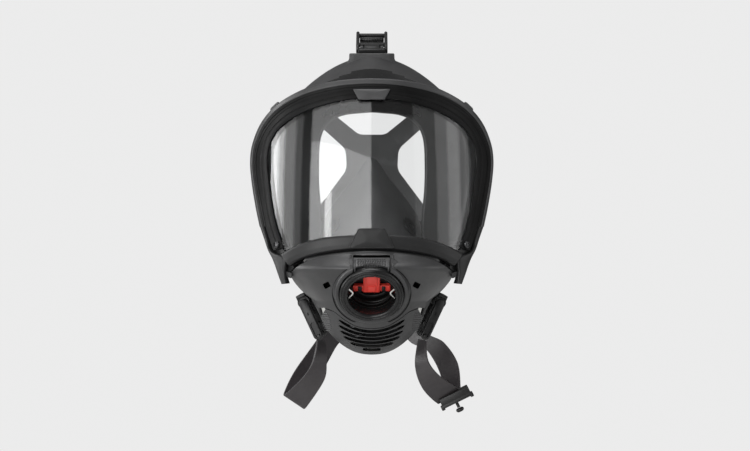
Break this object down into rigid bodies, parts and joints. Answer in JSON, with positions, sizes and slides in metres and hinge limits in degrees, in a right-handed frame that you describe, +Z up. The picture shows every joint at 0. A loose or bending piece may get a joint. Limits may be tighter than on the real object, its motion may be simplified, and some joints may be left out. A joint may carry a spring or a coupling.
{
  "type": "full face respirator",
  "caption": "Full face breathing mask with a wide clear visor, tilted chin port, slotted exhalation cover, nose cup and rubber head harness",
  "frame": {"origin": "centre of the face opening, on the plane of the face seal at its forehead", "axes": "+X to the viewer's right, +Y back towards the wearer, +Z up"},
  "size_m": [0.1974, 0.2103, 0.3182],
  "materials": {
    "rubber": "matte moulded rubber",
    "frame": "fine-grained moulded plastic",
    "cover": "satin moulded plastic",
    "black": "smooth black plastic",
    "visor": "clear hard-coated polycarbonate",
    "ring": "polished glass-filled plastic",
    "red": "red moulded plastic",
    "steel": "spring steel",
    "silicone": "matte silicone",
    "strap": "smooth rubber strap with a satin face"
  },
  "bodies": {
    "mask": {"check_valve_seat_left": "black", "check_valve_seat_right": "black", "connector_clamp": "steel", "connector_housing": "black", "diaphragm_ring": "ring", "exhalation_cover": "cover", "exhalation_valve_seat": "black", "face_blank": "rubber", "forehead_buckle_lug": "black", "forehead_buckle_pin": "steel", "forehead_strap": "strap", "frame_nut_left": "steel", "frame_nut_right": "steel", "frame_screw_left": "steel", "frame_screw_right": "steel", "front_cover": "cover", "harness_plate": "rubber", "inhalation_valve_carrier": "red", "lower_frame": "frame", "neck_buckle_left_lug": "black", "neck_buckle_left_pin": "steel", "neck_buckle_right_lug": "black", "neck_buckle_right_pin": "steel", "neck_strap_left": "strap", "neck_strap_right": "strap", "nose_cup": "silicone", "port_ring": "ring", "port_seal": "black", "speech_diaphragm": "steel", "strap_clip": "black", "strap_clip_knob": "black", "temple_buckle_left_lug": "black", "temple_buckle_left_pin": "steel", "temple_buckle_right_lug": "black", "temple_buckle_right_pin": "steel", "temple_strap_left": "strap", "temple_strap_right": "strap", "upper_frame": "frame", "visor": "visor", "visor_gasket": "black"},
    "release_latch": {"release_latch": "black"},
    "retaining_wire_left": {"retaining_wire_left": "steel"},
    "retaining_wire_right": {"retaining_wire_right": "steel"},
    "inhalation_valve": {"inhalation_valve_disc": "silicone"},
    "exhalation_valve": {"exhalation_valve_disc": "silicone", "exhalation_spring": "steel"},
    "check_valve_left": {"check_valve_disc_left": "silicone"},
    "check_valve_right": {"check_valve_disc_right": "silicone"},
    "forehead_buckle": {"forehead_buckle_frame": "black", "forehead_buckle_roller": "ring"},
    "temple_buckle_left": {"temple_buckle_left_frame": "black", "temple_buckle_left_roller": "ring"},
    "temple_buckle_right": {"temple_buckle_right_frame": "black", "temple_buckle_right_roller": "ring"},
    "neck_buckle_left": {"neck_buckle_left_frame": "black", "neck_buckle_left_roller": "ring"},
    "neck_buckle_right": {"neck_buckle_right_frame": "black", "neck_buckle_right_roller": "ring"}
  },
  "joints": [
    {"name": "latch_press", "type": "slide", "parent": "mask", "child": "release_latch", "axis": [0, 1, 0], "range_m": [0, 0.0025], "stiffness_N_per_m": 600, "springref_m": -0.001},
    {"name": "wire_spread_left", "type": "slide", "parent": "mask", "child": "retaining_wire_left", "axis": [-1, 0, 0], "range_m": [0, 0.003]},
    {"name": "wire_spread_right", "type": "slide", "parent": "mask", "child": "retaining_wire_right", "axis": [1, 0, 0], "range_m": [0, 0.003]},
    {"name": "inhalation_valve_lift", "type": "slide", "parent": "mask", "child": "inhalation_valve", "axis": [0, 0.8192, 0.5736], "range_m": [0, 0.002], "stiffness_N_per_m": 40},
    {"name": "exhalation_valve_lift", "type": "slide", "parent": "mask", "child": "exhalation_valve", "axis": [0, -0.8, -0.6], "range_m": [0, 0.0007], "stiffness_N_per_m": 60, "springref_m": -0.001},
    {"name": "check_valve_lift_left", "type": "slide", "parent": "mask", "child": "check_valve_left", "axis": [0.7647, 0.4406, -0.4702], "range_m": [0, 0.0012], "stiffness_N_per_m": 20},
    {"name": "check_valve_lift_right", "type": "slide", "parent": "mask", "child": "check_valve_right", "axis": [-0.7647, 0.4406, -0.4702], "range_m": [0, 0.0012], "stiffness_N_per_m": 20},
    {"name": "forehead_buckle_swivel", "type": "hinge", "parent": "mask", "child": "forehead_buckle", "pos_m": [0, 0.0024, 0.1246], "axis": [1, 0, 0], "range_deg": [-12, 12], "deforming": ["forehead_strap"]},
    {"name": "temple_buckle_left_swivel", "type": "hinge", "parent": "mask", "child": "temple_buckle_left", "pos_m": [-0.087, 0.034, 0.043], "axis": [0, 0, 1], "range_deg": [-12, 12], "deforming": ["temple_strap_left"]},
    {"name": "temple_buckle_right_swivel", "type": "hinge", "parent": "mask", "child": "temple_buckle_right", "pos_m": [0.087, 0.034, 0.043], "axis": [0, 0, 1], "range_deg": [-12, 12], "deforming": ["temple_strap_right"]},
    {"name": "neck_buckle_left_swivel", "type": "hinge", "parent": "mask", "child": "neck_buckle_left", "pos_m": [-0.0545, -0.004, -0.0825], "axis": [0.1181, 0.9915, 0.0545], "range_deg": [-12, 12], "deforming": ["neck_strap_left"]},
    {"name": "neck_buckle_right_swivel", "type": "hinge", "parent": "mask", "child": "neck_buckle_right", "pos_m": [0.0545, -0.004, -0.0825], "axis": [-0.1181, 0.9915, 0.0545], "range_deg": [-12, 12], "deforming": ["neck_strap_right"]}
  ],
  "couplings": [
    {"joint": "wire_spread_left", "follows": "latch_press", "ratio": 1.2},
    {"joint": "wire_spread_right", "follows": "latch_press", "ratio": 1.2}
  ]
}
